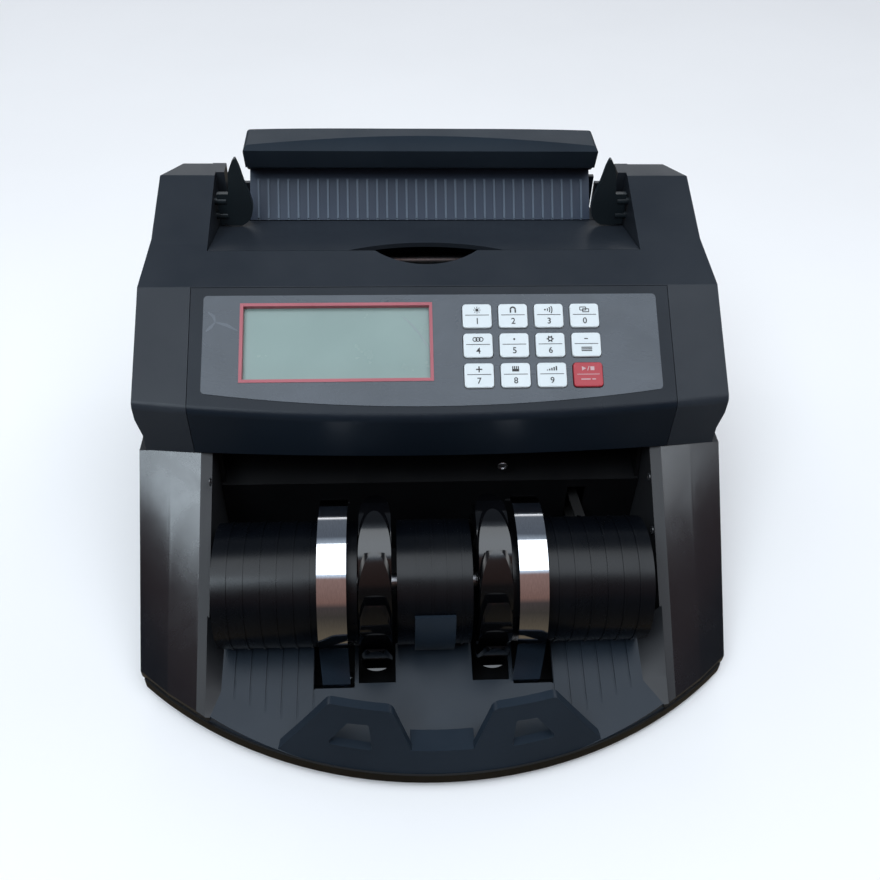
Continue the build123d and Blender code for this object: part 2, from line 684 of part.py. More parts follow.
# carrying handle: crowned bar, flat ends, its front edge overhanging a drawn-in lower face
def make_handle_bar():
    x0, x1 = BAR_X
    width = x1 - x0
    top = Spline((x0, 119.6, 183.6), (x0, 126.0, 187.2), (x0, 134.0, 188.6), (x0, 141.4, 184.6))
    lower = Polyline((x0, 141.4, 184.6), (x0, 141.4, 172.0), (x0, 137.0, 167.0), (x0, 132.0, 166.6),
                     (x0, 126.5, 171.0), (x0, 123.2, 172.4), (x0, 119.6, 183.6))
    bar = Solid.extrude(Face(Wire([top] + list(lower.edges()))), Vector(width, 0, 0))
    c = (x0 + x1) / 2
    sides = Polyline((x1, 100, BAR_END_Z), (x1, 100, 150), (x0, 100, 150), (x0, 100, BAR_END_Z))
    arch = ThreePointArc((x0, 100, BAR_END_Z), (c, 100, BAR_MID_Z), (x1, 100, BAR_END_Z))
    front = Solid.extrude(Face(Wire(list(sides.edges()) + [arch])), Vector(0, 60, 0))
    corners = [e for e in front.edges().filter_by(Axis.Y) if e.center().Z > 180]
    front = fillet(corners, 3.0)
    return bar & front


def make_chassis():
    pts = [(24, 6.5), (24, 118), (51, 142.2), (102, 142.2), (116, 128), (116, 6.5)]
    body = Part()
    for s in (1, -1):
        x0 = min(s * PLATE_X, s * (PLATE_X + PLATE_T))
        x1 = max(s * PLATE_X, s * (PLATE_X + PLATE_T))
        plate = prism_x(pts, x0, x1)
        foot = block(min(s * (PLATE_X - 12), s * PLATE_X), max(s * (PLATE_X - 12), s * PLATE_X), 24, 116, 6.5, 8.0)
        body = body + plate + foot
        for y, z, r in (PICKUP, FEED, CARRY):
            body = body - cyl_x(y, z, 8.0, x0 - 1, x1 + 1)
        body = body - cyl_x(MOTOR[0], MOTOR[1], 7.0, x0 - 1, x1 + 1)
    for y, z in ((28, 58), (104, 60), (58, 126)):
        body = body + cyl_x(y, z, 4, -PLATE_X - 0.5, PLATE_X + 0.5)
    return body


def make_bearings():
    rings = []
    for s in (1, -1):
        x0 = s * (PLATE_X + PLATE_T / 2)
        for y, z, r in (PICKUP, FEED, CARRY):
            rings.append(ring(y, z, SHAFT_R + RUN_FIT, 8.0, x0 - 2.5, x0 + 2.5))
    return Compound(children=rings)


def pulley(y, z, r, x0, x1):
    return ring(y, z, SHAFT_R - 0.2, r, x0, x1) + ring(y, z, SHAFT_R - 0.2, r + 1.5, x0 - 1, x0) + ring(
        y, z, SHAFT_R - 0.2, r + 1.5, x1, x1 + 1)


def make_feed_shaft():
    y, z, r = FEED
    body = Part() + cyl_x(y, z, SHAFT_R, -127, 127) + pulley(y, z, 16.0, 119, 124)
    return body + pulley(y, z, 12.0, -124, -119)


def make_feed_rollers():
    y, z, r = FEED
    a = ring(y, z, SHAFT_R, r, 24, 46)
    return Compound(children=[a, ring(y, z, SHAFT_R, r, -46, -24)])


def make_pickup_shaft():
    y, z, r = PICKUP
    return Part() + cyl_x(y, z, SHAFT_R, -127, 118) + pulley(y, z, 9.0, -124, -119)


def make_pickup_rollers():
    y, z, r = PICKUP
    return Compound(children=[ring(y, z, SHAFT_R, r, 50, 64), ring(y, z, SHAFT_R, r, -64, -50)])


def make_carry_roller():
    y, z, r = CARRY
    body = Part() + cyl_x(y, z, SHAFT_R, -118, 127) + pulley(y, z, 8.0, 119, 124)
    for c in (-60, -20, 20, 60):
        body = body + ring(y, z, SHAFT_R - 0.2, r, c - 8, c + 8)
    return body


def make_pinch_rollers():
    y, z, r = PINCH
    body = Part() + cyl_x(y, z, 3.0, -53, 53)
    for c in (-35, 35):
        body = body + ring(y, z, 2.8, r, c - 10, c + 10)
    return body


def make_main_motor():
    y, z, r = MOTOR
    body = Part() + cyl_x(y, z, r, 44, 108) + cyl_x(y, z, 6.0, 108, 111.5)
    body = body + block(52, 100, y - 14, y + 14, 6.5, 26)
    body = body - cyl_x(y, z, 2.5 + RUN_FIT, 96, 120)
    return fillet([e for e in body.edges().filter_by(GeomType.CIRCLE) if abs(e.radius - r) < 0.1], 2.0)


def make_main_motor_shaft():
    y, z, r = MOTOR
    body = Part() + cyl_x(y, z, 2.5, 97, 127) + ring(y, z, 2.4, 7.0, 119, 124)
    return body + ring(y, z, 2.4, 8.5, 118, 119) + ring(y, z, 2.4, 8.5, 124, 125)


def make_stack_motor():
    y, z, r = STACK_MOTOR
    body = Part() + cyl_x(y, z, r, 22, 68) + cyl_x(y, z, 5.0, 68, 71)
    body = body + block(28, 62, y - 10, y + 10, 6.5, 22)
    body = body - cyl_x(y, z, 2.0 + RUN_FIT, 60, 80)
    return fillet([e for e in body.edges().filter_by(GeomType.CIRCLE) if abs(e.radius - r) < 0.1], 1.5)


def make_stack_motor_shaft():
    y, z, r = STACK_MOTOR
    body = Part() + cyl_x(y, z, 2.0, 61, 82) + ring(y, z, 1.9, 6.0, 74, 80)
    return body + ring(y, z, 1.9, 7.3, 73, 74) + ring(y, z, 1.9, 7.3, 80, 81)


# closed belt loop around two pulleys
def belt(a, ra, b, rb, x0, x1, gap=0.25, t=1.0):
    def loop(grow):
        ra2 = ra + gap + grow
        rb2 = rb + gap + grow
        dy = b[0] - a[0]
        dz = b[1] - a[1]
        d = math.hypot(dy, dz)
        base = math.atan2(dz, dy)
        off = math.acos((ra2 - rb2) / d)
        pts = []
        for s in (1, -1):
            ang = base + s * off
            pts.append(((a[0] + ra2 * math.cos(ang), a[1] + ra2 * math.sin(ang)),
                        (b[0] + rb2 * math.cos(ang), b[1] + rb2 * math.sin(ang))))
        quad = [pts[0][0], pts[0][1], pts[1][1], pts[1][0]]
        return prism_x(quad, x0, x1) + cyl_x(a[0], a[1], ra2, x0, x1) + cyl_x(b[0], b[1], rb2, x0, x1)
    return loop(t) - loop(0.0)


def make_belts():
    loops = [
        belt(MOTOR, 7.0, FEED, 16.0, 119.4, 121.4),
        belt(CARRY, 8.0, FEED, 16.0, 121.9, 123.6),
        belt(PICKUP, 9.0, FEED, 12.0, -123.6, -119.4),
        belt(STACK_MOTOR, 6.0, (AX_Y, AX_Z), 9.0, 74.4, 79.6),
    ]
    return Compound(children=loops)


# note path guides: floor sheet, drop wall behind the stacker, exit deflector, end cheeks
def make_path_guide():
    w = 109.0
    top = [(103.5, 89.5), (97, 83.5), (88, 81.5), (30, 70), (-6, 62)]
    low = [(-5, 59.8), (30, 67.8), (88, 79.3), (98, 81.5), (105, 87.8)]
    body = Part() + prism_x(top + low, -w, w)
    body = body + block(-w, w, -5.6, -3.4, 8.5, 61.5)
    body = body + prism_x([(2.0, 94), (14, 77), (16, 77.8), (4.4, 94)], -w, w)
    for s in (1, -1):
        x0 = min(s * (w - 2), s * w)
        x1 = max(s * (w - 2), s * w)
        body = body + prism_x([(-5, 60), (3, 94), (14, 94), (17, 66)], x0, x1)
    body = body - block(72, 82, -10, 4, 18, 56)
    return body


def make_power_board():
    board = block(-98, -12, 36, 100, 14, 15.6)
    feet = [cyl_z(x, y, 3, 6.5, 14) for x in (-94, -16) for y in (41, 95)]
    core = block(-92, -48, 50, 92, 15.6, 44)
    coil = block(-84, -56, 46, 96, 20, 40)
    caps = [cyl_z(-32, 52, 8, 15.6, 40), cyl_z(-32, 72, 8, 15.6, 40)]
    plug = block(-42, -20, 86, 96, 15.6, 27)
    return union([board, core, coil, plug] + feet + caps)


def make_mains_inlet():
    body = Part() + block(-130.6, -101.4, BACK - 1.8, BACK - 0.2, 18.9, 41.1)
    body = body + block(-129.6, -102.4, 124, BACK - 1.8, 20.2, 39.8)
    body = body - block(-128, -104, 126.5, BACK + 3, 22, 38)
    for x in (-123, -116, -109):
        z = 27.5 if x != -116 else 32
        body = body + block(x - 1, x + 1, 126, 140, z - 2, z + 2)
    return body


def make_switch_body():
    body = Part() + block(-126.6, -105.4, BACK - 1.8, BACK - 0.2, 52.9, 68.1)
    body = body + block(-125.4, -106.6, 126, BACK - 1.8, 54.2, 66.8)
    body = body - block(-124, -108, 130, BACK + 3, 55.4, 65.6)
    return body - cyl_x(BACK - 7.5, 60.5, 1.5 + RUN_FIT, -125.0, -107.0)


def make_switch_rocker():
    pts = [(BACK - 0.3, 65.0), (BACK - 2.2, 60.5), (BACK - 2.6, 56.3), (BACK - 6, 56.2), (BACK - 9, 58.0),
           (BACK - 9, 63.0), (BACK - 6, 65.0)]
    return prism_x(pts, -123.6, -108.4) + cyl_x(BACK - 7.5, 60.5, 1.5, -124.8, -107.2)


def make_gap_knob():
    knob = cyl_y(0, 120, 9.0, 136.4, 141.6)
    for i in range(12):
        a = math.radians(30 * i)
        knob = knob - cyl_y(9.6 * math.cos(a), 120 + 9.6 * math.sin(a), 1.3, 137.5, 143)
    return Part() + knob + cyl_y(0, 120, 3.0, 128, 137)


def key_name(i):
    return "key_%02d" % (i + 1)


def build_all():
    nodes = {
        "base_pan": make_base_pan(),
        "rubber_feet": make_feet(),
        "case_screws": make_case_screws(),
        "lower_housing": make_lower_housing(),
        "upper_cover": make_upper_cover(),
        "control_panel": make_control_panel(),
        "panel_overlay": make_panel_overlay(),
        "lcd_bezel": make_lcd_bezel(),
        "lcd_module": make_lcd_module(),
        "keypad_board": make_keypad_board(),
        "main_board": make_main_board(),
        "stacker_tray": make_stacker_tray(),
        "drum_cover_left": make_drum_left(),
        "drum_cover_centre": make_drum_centre(),
        "drum_cover_right": make_drum_right(),
        "chrome_strip_left": make_strip(-1),
        "chrome_strip_right": make_strip(1),
        "stacker_bracket": make_stacker_bracket(),
        "impeller_shaft": make_impeller_shaft(),
        "impeller_wheel_left": make_wheel(-1),
        "impeller_wheel_right": make_wheel(1),
        "hopper_floor": make_hopper_floor(),
        "note_guide_left": make_guide(-1),
        "note_guide_right": make_guide(1),
        "rear_door": make_rear_door(),
        "backrest_plate": make_backrest(),
        "handle_bar": make_handle_bar(),
        "gap_knob": make_gap_knob(),
        "chassis": make_chassis(),
        "bearings": make_bearings(),
        "path_guide": make_path_guide(),
        "feed_shaft": make_feed_shaft(),
        "feed_rollers": make_feed_rollers(),
        "pickup_shaft": make_pickup_shaft(),
        "pickup_rollers": make_pickup_rollers(),
        "carry_roller": make_carry_roller(),
        "pinch_rollers": make_pinch_rollers(),
        "main_motor": make_main_motor(),
        "main_motor_shaft": make_main_motor_shaft(),
        "stack_motor": make_stack_motor(),
        "stack_motor_shaft": make_stack_motor_shaft(),
        "drive_belts": make_belts(),
        "power_board": make_power_board(),
        "mains_inlet": make_mains_inlet(),
        "switch_body": make_switch_body(),
        "switch_rocker": make_switch_rocker(),
    }
    i = 0
    for u in KEY_ROWS:
        for x in KEY_COLS:
            nodes[key_name(i)] = make_key(x, u)
            i += 1
    return nodes


os.makedirs("parts", exist_ok=True)
for name, shape in build_all().items():
    shape.label = name
    export_step(shape, "parts/%s.step" % name)
    box = shape.bounding_box()
    print("%-22s %2d solids  vol %9.0f  x %6.1f..%6.1f  y %6.1f..%6.1f  z %6.1f..%6.1f" % (
        name, len(shape.solids()), shape.volume, box.min.X, box.max.X, box.min.Y, box.max.Y, box.min.Z, box.max.Z))
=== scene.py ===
import math

import bpy
from mathutils import Matrix, Vector


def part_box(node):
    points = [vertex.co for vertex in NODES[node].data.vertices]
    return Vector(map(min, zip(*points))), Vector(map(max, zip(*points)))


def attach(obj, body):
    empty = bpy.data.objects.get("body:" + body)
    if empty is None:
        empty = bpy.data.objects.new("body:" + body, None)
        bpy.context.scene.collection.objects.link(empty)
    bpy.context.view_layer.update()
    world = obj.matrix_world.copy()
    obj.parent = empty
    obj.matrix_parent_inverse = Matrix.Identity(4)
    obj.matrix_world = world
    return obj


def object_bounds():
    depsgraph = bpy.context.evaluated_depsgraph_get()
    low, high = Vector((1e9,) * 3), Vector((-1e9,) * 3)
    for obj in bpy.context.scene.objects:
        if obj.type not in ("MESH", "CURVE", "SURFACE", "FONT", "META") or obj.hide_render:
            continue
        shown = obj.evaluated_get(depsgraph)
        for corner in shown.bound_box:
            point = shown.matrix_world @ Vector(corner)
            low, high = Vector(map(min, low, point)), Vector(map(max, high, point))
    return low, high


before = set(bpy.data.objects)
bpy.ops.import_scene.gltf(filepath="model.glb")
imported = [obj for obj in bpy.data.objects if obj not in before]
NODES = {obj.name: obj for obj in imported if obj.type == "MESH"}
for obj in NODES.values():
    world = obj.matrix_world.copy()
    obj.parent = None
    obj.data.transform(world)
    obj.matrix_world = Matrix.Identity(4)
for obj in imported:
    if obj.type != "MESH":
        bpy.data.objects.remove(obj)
CAD_LO, CAD_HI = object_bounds()
KEYS = ["key_%02d" % (i + 1) for i in range(12)]

# Real measures that the looks depend on: metres, or millimetres where the name ends in _MM.
PANEL_SLOPE = math.radians(32.3)
FILM_LENGTH = 0.0534        # the overlay film, measured up the slope of the panel
FILM_THICKNESS = 0.0004
CHEEK_INSIDE = 0.1150       # nearer to the middle than this, the housing is a pocket wall
# These three also place the painted highlight that lightens the ribs of the backrest plate.
RIB_STEP = 0.0054           # pitch of the ribs on the backrest plate
RIB_HALF_SHARE = 0.115      # half a rib's width as a share of the pitch
RIBS_HEIGHT = 0.0178        # the ribs end this high above the foot of the plate
MARK_THICKNESS = 0.00006    # ink on a key
MARK_GAP = 0.00002          # keeps the ink clear of the cap
WALL_MM = 109.55            # the pocket walls that hold the sensor eyes
BRACKET_FACE_MM = -6.02     # front of the plate that holds the guide screw


# ---------------------------------------------------------------- node trees and materials
class Graph:
    """Short names for building one node tree, of a material or of the world."""

    def __init__(self, owner, coord):
        owner.use_nodes = True
        self.owner = owner
        self.tree = owner.node_tree
        self.coord = self.tree.nodes.new("ShaderNodeTexCoord").outputs[coord]

    def link(self, a, b):
        self.tree.links.new(a, b)

    def mapping(self, scale, rot=(0, 0, 0)):
        node = self.tree.nodes.new("ShaderNodeMapping")
        node.inputs["Scale"].default_value = scale
        node.inputs["Rotation"].default_value = rot
        self.link(self.coord, node.inputs["Vector"])
        return node.outputs["Vector"]

    def xyz(self):
        node = self.tree.nodes.new("ShaderNodeSeparateXYZ")
        self.link(self.coord, node.inputs[0])
        return node.outputs["X"], node.outputs["Y"], node.outputs["Z"]

    def noise(self, scale, detail=3.0, rough=0.55, distort=0.0, vector=None):
        node = self.tree.nodes.new("ShaderNodeTexNoise")
        node.inputs["Scale"].default_value = scale
        node.inputs["Detail"].default_value = detail
        node.inputs["Roughness"].default_value = rough
        node.inputs["Distortion"].default_value = distort
        self.link(vector if vector is not None else self.coord, node.inputs["Vector"])
        return node.outputs["Fac"]

    def ramp(self, fac, stops):
        """Stops are (position, colour), and a colour may be one grey value."""
        node = self.tree.nodes.new("ShaderNodeValToRGB")
        ramp = node.color_ramp
        while len(ramp.elements) < len(stops):
            ramp.elements.new(0.5)
        for element, (pos, col) in zip(ramp.elements, stops):
            element.position = pos
            element.color = (col, col, col, 1) if isinstance(col, float) else col + (1,)
        self.link(fac, node.inputs["Fac"])
        return node.outputs["Color"]

    def math(self, op, *values, clamp=False):
        node = self.tree.nodes.new("ShaderNodeMath")
        node.operation = op
        node.use_clamp = clamp
        for socket, value in zip(node.inputs, values):
            if isinstance(value, (int, float)):
                socket.default_value = value
            else:
                self.link(value, socket)
        return node.outputs[0]

    def mix(self, fac, a, b):
        node = self.tree.nodes.new("ShaderNodeMix")
        node.data_type = "RGBA"
        for name, value in (("A", a), ("B", b)):
            socket = [s for s in node.inputs if s.name == name and s.type == "RGBA"][0]
            if isinstance(value, tuple):
                socket.default_value = value + (1,)
            else:
                self.link(value, socket)
        self.link(fac, node.inputs[0])
        return [s for s in node.outputs if s.type == "RGBA"][0]

    def bump(self, height, strength, distance, normal=None):
        node = self.tree.nodes.new("ShaderNodeBump")
        node.inputs["Strength"].default_value = strength
        node.inputs["Distance"].default_value = distance
        self.link(height, node.inputs["Height"])
        if normal is not None:
            self.link(normal, node.inputs["Normal"])
        return node.outputs["Normal"]


class Surface(Graph):
    """A material: colour, roughness and relief come from nodes, the rest are plain values."""

    def __init__(self, name):
        super().__init__(bpy.data.materials.new(name), "Object")
        self.bsdf = self.tree.nodes["Principled BSDF"]

    def wire(self, colour, roughness=None, normal=None, **values):
        """Connects what is given to the shader, sets the plain values, returns the material."""
        for socket, source in (("Base Color", colour), ("Roughness", roughness),
                               ("Normal", normal)):
            if source is not None:
                self.link(source, self.bsdf.inputs[socket])
        for key, value in values.items():
            self.bsdf.inputs[key.replace("_", " ")].default_value = value
        return self.owner

    def cloud(self, col_a, col_b):
        """Slow drift between two close colours."""
        return self.ramp(self.noise(14.0, 5.0, 0.6), [(0.32, col_a), (0.7, col_b)])

    def smudges(self, low, high, distort=0.4):
        """Uneven gloss, as handling leaves it."""
        return self.ramp(self.noise(38.0, 6.0, 0.62, distort), [(0.3, low), (0.72, high)])

    def grain(self, strength):
        """Fine spark-eroded grain."""
        return self.bump(self.noise(1500.0, 2.0, 0.5), strength, 0.00006)


def moulded(name, col_a, col_b, rough=(0.3, 0.42), grain=0.25, spec=0.5, coat=0.0, dull=None):
    """Moulded plastic. If dull is given, it has no polish where |X| is less than that."""
    s = Surface(name)
    gloss = s.smudges(*rough)
    if dull is not None:
        polished = s.math("GREATER_THAN", s.math("ABSOLUTE", s.xyz()[0]), dull)
        gloss = s.mix(polished, (0.62, 0.62, 0.62), gloss)
    relief = s.bump(s.noise(30.0, 2.0, 0.5), 0.12, 0.0006, s.grain(grain))
    return s.wire(s.cloud(col_a, col_b), gloss, relief,
                  Specular_IOR_Level=spec, Coat_Weight=coat, Coat_Roughness=0.12)


def metal(name, col, rough, streak, bump):
    """Bare metal with fine tool lines, stretched by streak."""
    s = Surface(name)
    lines = s.noise(420.0, 4.0, 0.6, vector=s.mapping(streak))
    dark = tuple(c * 0.82 for c in col)
    return s.wire(s.ramp(lines, [(0.3, dark), (0.7, col)]),
                  s.ramp(lines, [(0.25, rough * 0.75), (0.75, rough * 1.3)]),
                  s.bump(lines, bump, 0.00004), Metallic=1.0)


def film(name):
    """Printed overlay under a thin protective film, slightly rippled and smeared."""
    s = Surface(name)
    print_tone = s.ramp(s.noise(24.0, 6.0, 0.6, 1.0),
                        [(0.35, (0.028, 0.040, 0.055)), (0.72, (0.041, 0.055, 0.074))])
    smear = s.noise(46.0, 5.0, 0.65, 1.5, s.mapping((0.5, 1.4, 1.0), (0, 0, 0.5)))
    return s.wire(print_tone, s.ramp(smear, [(0.35, 0.22), (0.75, 0.34)]),
                  s.bump(s.noise(28.0, 3.0, 0.5, 0.8), 0.25, 0.0009),
                  Specular_IOR_Level=0.45, Coat_Weight=0.15, Coat_Roughness=0.1)


def ribbed(name, node):
    """Slate plastic whose raised ribs are a little lighter than the plate between them: a painted
    highlight standing for the light the ribs catch.
    """
    s = Surface(name)
    lo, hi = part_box(node)
    x, _, z = s.xyz()
    from_middle = s.math("SUBTRACT", x, (lo.x + hi.x) / 2)
    phase = s.math("FRACT", s.math("DIVIDE", from_middle, RIB_STEP))
    off_rib = s.math("ABSOLUTE", s.math("SUBTRACT", phase, 0.5))
    # Where the painted highlight lies: on the ribs, below RIBS_HEIGHT.
    rib_highlight_mask = s.math("MULTIPLY", s.math("LESS_THAN", off_rib, RIB_HALF_SHARE),
                    s.math("LESS_THAN", z, lo.z + RIBS_HEIGHT))
    plate = s.cloud((0.0300, 0.0430, 0.0690), (0.0370, 0.0530, 0.0840))
    # The lighter colour mixed in here is the painted highlight on the ribs.
    return s.wire(s.mix(rib_highlight_mask, plate, (0.095, 0.128, 0.172)),
                  s.smudges(0.33, 0.44, 0.0), s.grain(0.2), Specular_IOR_Level=0.18)


def lcd(name):
    """Grey-green display glass, switched off."""
    s = Surface(name)
    glass = s.ramp(s.noise(30.0, 4.0, 0.5),
                   [(0.3, (0.195, 0.285, 0.265)), (0.7, (0.215, 0.310, 0.288))])
    return s.wire(glass, s.ramp(s.noise(90.0), [(0.3, 0.16), (0.7, 0.28)]),
                  s.bump(s.noise(900.0, 2.0), 0.05, 0.00004), Specular_IOR_Level=0.5)


def board(name):
    """Green solder mask."""
    s = Surface(name)
    mask = s.ramp(s.noise(260.0, 4.0, 0.6), [(0.4, (0.01, 0.09, 0.035)), (0.6, (0.02, 0.15, 0.06))])
    return s.wire(mask, s.ramp(s.noise(500.0), [(0.3, 0.3), (0.7, 0.5)]))


ABS = moulded("abs_black", (0.0062, 0.0102, 0.0165), (0.0092, 0.0146, 0.0225),
              (0.27, 0.38), spec=0.18)
BAR = moulded("abs_bar", (0.0150, 0.0220, 0.0310), (0.0210, 0.0300, 0.0410),
              (0.30, 0.40), spec=0.05)
CHEEK = moulded("abs_cheek", (0.0030, 0.0046, 0.0072), (0.0048, 0.0072, 0.0110),
                (0.21, 0.31), spec=0.80, dull=CHEEK_INSIDE)
# Same black plastic as the other mouldings, given a lighter colour: a painted highlight for the lit
# tops of the cover and the hopper floor.
LIT_COVER = moulded("abs_cover_lit_painted", (0.0185, 0.0235, 0.0310), (0.0270, 0.0325, 0.0405),
                (0.30, 0.40), spec=0.18)
TRAY = moulded("abs_tray", (0.0115, 0.0185, 0.0280), (0.0155, 0.0245, 0.0365),
               (0.27, 0.38), spec=0.22)
DARK = moulded("abs_inner", (0.0018, 0.0020, 0.0026), (0.0030, 0.0033, 0.0040),
               (0.42, 0.55), 0.3, spec=0.3)
GUIDE = moulded("abs_guide", (0.0110, 0.0165, 0.0205), (0.0150, 0.0220, 0.0265), spec=0.3)
DRUM = moulded("abs_drum", (0.0012, 0.0018, 0.0032), (0.0022, 0.0032, 0.0050),
               (0.24, 0.32), 0.1, spec=0.30)
GLOSS = moulded("abs_gloss", (0.0012, 0.0013, 0.0018), (0.0022, 0.0024, 0.0030),
                (0.09, 0.17), 0.04, spec=0.65, coat=0.2)
WHITE = moulded("key_white", (0.66, 0.73, 0.75), (0.74, 0.80, 0.82), (0.32, 0.44), 0.15)
RED_KEY = moulded("key_red", (0.40, 0.035, 0.050), (0.47, 0.050, 0.065), grain=0.15, spec=0.35)
RED_RIM = moulded("rim_red", (0.34, 0.060, 0.085), (0.41, 0.085, 0.110), (0.28, 0.4), 0.15)
INK = moulded("ink_black", (0.012, 0.012, 0.014), (0.02, 0.02, 0.022), (0.45, 0.6), 0.1)
INK_WHITE = moulded("ink_white", (0.52, 0.36, 0.38), (0.60, 0.44, 0.46), (0.4, 0.55), 0.1)
# A real crease in the film; its lighter colour is a painted reflection of the light on the fold.
CREASE_REFLECTION = moulded("film_crease_reflection", (0.068, 0.084, 0.106), (0.080, 0.098, 0.122),
                      (0.26, 0.36), 0.05)
PALE_LINE = moulded("film_crease", (0.20, 0.25, 0.27), (0.28, 0.33, 0.35), (0.25, 0.4), 0.1)
RUBBER = moulded("rubber", (0.006, 0.006, 0.006), (0.012, 0.012, 0.012), (0.6, 0.8), 0.5)
LENS = moulded("sensor_lens", (0.030, 0.032, 0.036), (0.045, 0.048, 0.052),
               (0.05, 0.12), 0.03, coat=0.6)
CHROME = metal("chrome", (0.82, 0.82, 0.84), 0.06, (8, 1, 1), 0.02)
STEEL = metal("steel", (0.55, 0.55, 0.57), 0.32, (1, 6, 6), 0.12)
FILM = film("overlay_film")
RIBBED = ribbed("abs_ribbed", "backrest_plate")
LCD = lcd("lcd_glass")
BOARD = board("circuit_board")

CAD_MATERIALS = (
    (ABS, ("control_panel", "rear_door", "gap_knob")),
    (BAR, ("handle_bar",)),
    (CHEEK, ("lower_housing",)),
    (LIT_COVER, ("upper_cover", "hopper_floor")),
    (TRAY, ("stacker_tray",)),
    (DARK, ("base_pan", "stacker_bracket", "chassis", "path_guide")),
    (GUIDE, ("note_guide_left", "note_guide_right")),
    (DRUM, ("drum_cover_left", "drum_cover_centre", "drum_cover_right")),
    (GLOSS, ("impeller_wheel_left", "impeller_wheel_right", "mains_inlet", "switch_body",
             "switch_rocker")),
    (WHITE, KEYS[:-1]),
    (RED_KEY, KEYS[-1:]),
    (RED_RIM, ("lcd_bezel",)),
    (RUBBER, ("rubber_feet", "feed_rollers", "pickup_rollers", "carry_roller", "pinch_rollers",
              "drive_belts")),
    (CHROME, ("chrome_strip_left", "chrome_strip_right")),
    (STEEL, ("case_screws", "impeller_shaft", "bearings", "feed_shaft", "pickup_shaft",
             "main_motor", "main_motor_shaft", "stack_motor", "stack_motor_shaft")),
    (FILM, ("panel_overlay",)),
    (RIBBED, ("backrest_plate",)),
    (LCD, ("lcd_module",)),
    (BOARD, ("keypad_board", "main_board", "power_board")),
)
# Width of the softened edges of each moulding, in metres.
SOFT_EDGES = {
    "lower_housing": 0.0009, "upper_cover": 0.0007, "control_panel": 0.0006,
    "stacker_tray": 0.0006, "rear_door": 0.0006, "handle_bar": 0.0012, "base_pan": 0.0006,
    "note_guide_left": 0.0004, "note_guide_right": 0.0004, "hopper_floor": 0.0004,
    "backrest_plate": 0.0002, "chrome_strip_left": 0.00018, "chrome_strip_right": 0.00018,
    "lcd_bezel": 0.00025, "switch_rocker": 0.0005, "mains_inlet": 0.0004,
    "switch_body": 0.0003, "gap_knob": 0.0004,
}


def dress(obj, mat):
    obj.data.materials.clear()
    obj.data.materials.append(mat)


def shade(obj, angle=32.0):
    obj.data.shade_smooth()
    obj.data.set_sharp_from_angle(angle=math.radians(angle))


def soften(obj, width):
    mod = obj.modifiers.new("soft_edge", "BEVEL")
    mod.width = width
    mod.segments = 3
    mod.limit_method = "ANGLE"
    mod.angle_limit = math.radians(28)
    mod.harden_normals = True
    mod.use_clamp_overlap = True


for mat, names in CAD_MATERIALS:
    for name in names:
        dress(NODES[name], mat)
        shade(NODES[name])
for name, width in SOFT_EDGES.items():
    soften(NODES[name], width)


# ---------------------------------------------------------------- helpers for new pieces
def new_object(name, data):
    obj = bpy.data.objects.new(name, data)
    bpy.context.scene.collection.objects.link(obj)
    return obj


def mesh_piece(name, verts, faces, mat, body, matrix=None):
    mesh = bpy.data.meshes.new(name)
    mesh.from_pydata(verts, [], faces)
    if matrix is not None:
        mesh.transform(matrix)
    mesh.update()
    obj = new_object(name, mesh)
    dress(obj, mat)
    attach(obj, body)
    return obj


def ring(radius, n, x=0.0, y=0.0):
    """Corners of a regular polygon."""
    turns = [2 * math.pi * i / n for i in range(n)]
    return [(x + radius * math.cos(a), y + radius * math.sin(a)) for a in turns]


# ---------------------------------------------------------------- ink on the keys
def key_matrix(key):
    """The frame on top of a key's cap: local X right, local Y up the slope, local Z out."""
    lo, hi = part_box(key)
    centre = (Vector(lo) + Vector(hi)) / 2
    rot = Matrix.Rotation(PANEL_SLOPE, 4, "X")
    out = rot @ Vector((0, 0, 1))
    top = max((Vector(v.co) - centre).dot(out) for v in NODES[key].data.vertices)
    return Matrix.Translation(centre + out * (top + MARK_GAP)) @ rot


